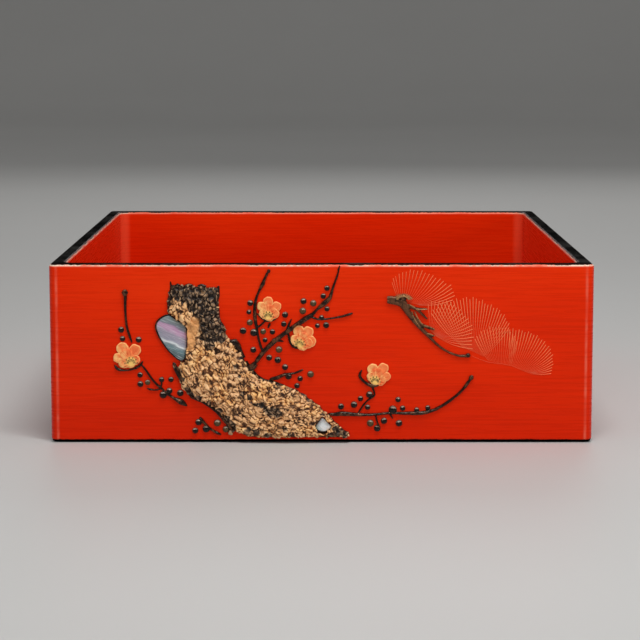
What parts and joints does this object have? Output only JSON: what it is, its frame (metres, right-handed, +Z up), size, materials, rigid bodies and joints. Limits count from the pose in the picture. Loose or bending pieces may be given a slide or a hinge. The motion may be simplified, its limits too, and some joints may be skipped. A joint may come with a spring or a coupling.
{
  "type": "lacquer box",
  "caption": "Open rectangular lacquered box with a flat rim and rounded edges, its front face set with a raised plum trunk, twigs, buds, shell inlays and a pine branch.",
  "frame": {"origin": "centre of the underside, on the surface that the box stands on", "axes": "+Z up through the open top, -Y out of the decorated front face, +X to the right as the front face is seen"},
  "size_m": [0.22, 0.2679, 0.073],
  "materials": {
    "vermilion_lacquer": "high-gloss vermilion lacquer over wood, black at the rim and foot",
    "bark_relief": "wrinkled tan bark with dark hollows, satin",
    "branch_lacquer": "black-brown raised lacquer dusted with gold",
    "bud_black": "high-gloss black lacquer beads",
    "bud_olive": "gloss olive-brown lacquer beads",
    "blossom_inlay": "cream to coral inlay, veined, satin",
    "mother_of_pearl": "iridescent silver-grey shell, polished"
  },
  "bodies": {
    "root": {"box_body": "vermilion_lacquer", "plum_trunk": "bark_relief", "shell_large": "mother_of_pearl", "shell_small": "mother_of_pearl", "blossom_left": "blossom_inlay", "blossom_upper": "blossom_inlay", "blossom_middle": "blossom_inlay", "blossom_right": "blossom_inlay", "branch_left_upper": "branch_lacquer", "branch_left_lower": "branch_lacquer", "branch_foot_left": "branch_lacquer", "branch_upper": "branch_lacquer", "branch_middle": "branch_lacquer", "branch_right": "branch_lacquer", "pine_branch": "branch_lacquer", "bud_left_upper_1": "bud_black", "bud_left_upper_2": "bud_black", "bud_left_upper_3": "bud_black", "bud_left_lower_1": "bud_olive", "bud_left_lower_2": "bud_black", "bud_left_lower_3": "bud_black", "bud_left_lower_4": "bud_black", "bud_left_lower_5": "bud_black", "bud_foot_left_1": "bud_black", "bud_foot_left_2": "bud_olive", "bud_foot_left_3": "bud_olive", "bud_upper_1": "bud_black", "bud_upper_2": "bud_olive", "bud_upper_3": "bud_black", "bud_upper_4": "bud_black", "bud_upper_5": "bud_olive", "bud_upper_6": "bud_black", "bud_upper_7": "bud_black", "bud_upper_8": "bud_black", "bud_upper_9": "bud_black", "bud_upper_10": "bud_black", "bud_upper_11": "bud_black", "bud_upper_12": "bud_black", "bud_upper_13": "bud_black", "bud_upper_14": "bud_olive", "bud_upper_15": "bud_black", "bud_upper_16": "bud_olive", "bud_upper_17": "bud_black", "bud_upper_18": "bud_black", "bud_upper_19": "bud_black", "bud_upper_20": "bud_black", "bud_upper_21": "bud_olive", "bud_upper_22": "bud_black", "bud_middle_1": "bud_black", "bud_middle_2": "bud_olive", "bud_middle_3": "bud_black", "bud_right_1": "bud_black", "bud_right_2": "bud_black", "bud_right_3": "bud_black", "bud_right_4": "bud_black", "bud_right_5": "bud_black", "bud_right_6": "bud_black", "bud_right_7": "bud_olive", "bud_right_8": "bud_black", "bud_right_9": "bud_black"}
  },
  "joints": []
}
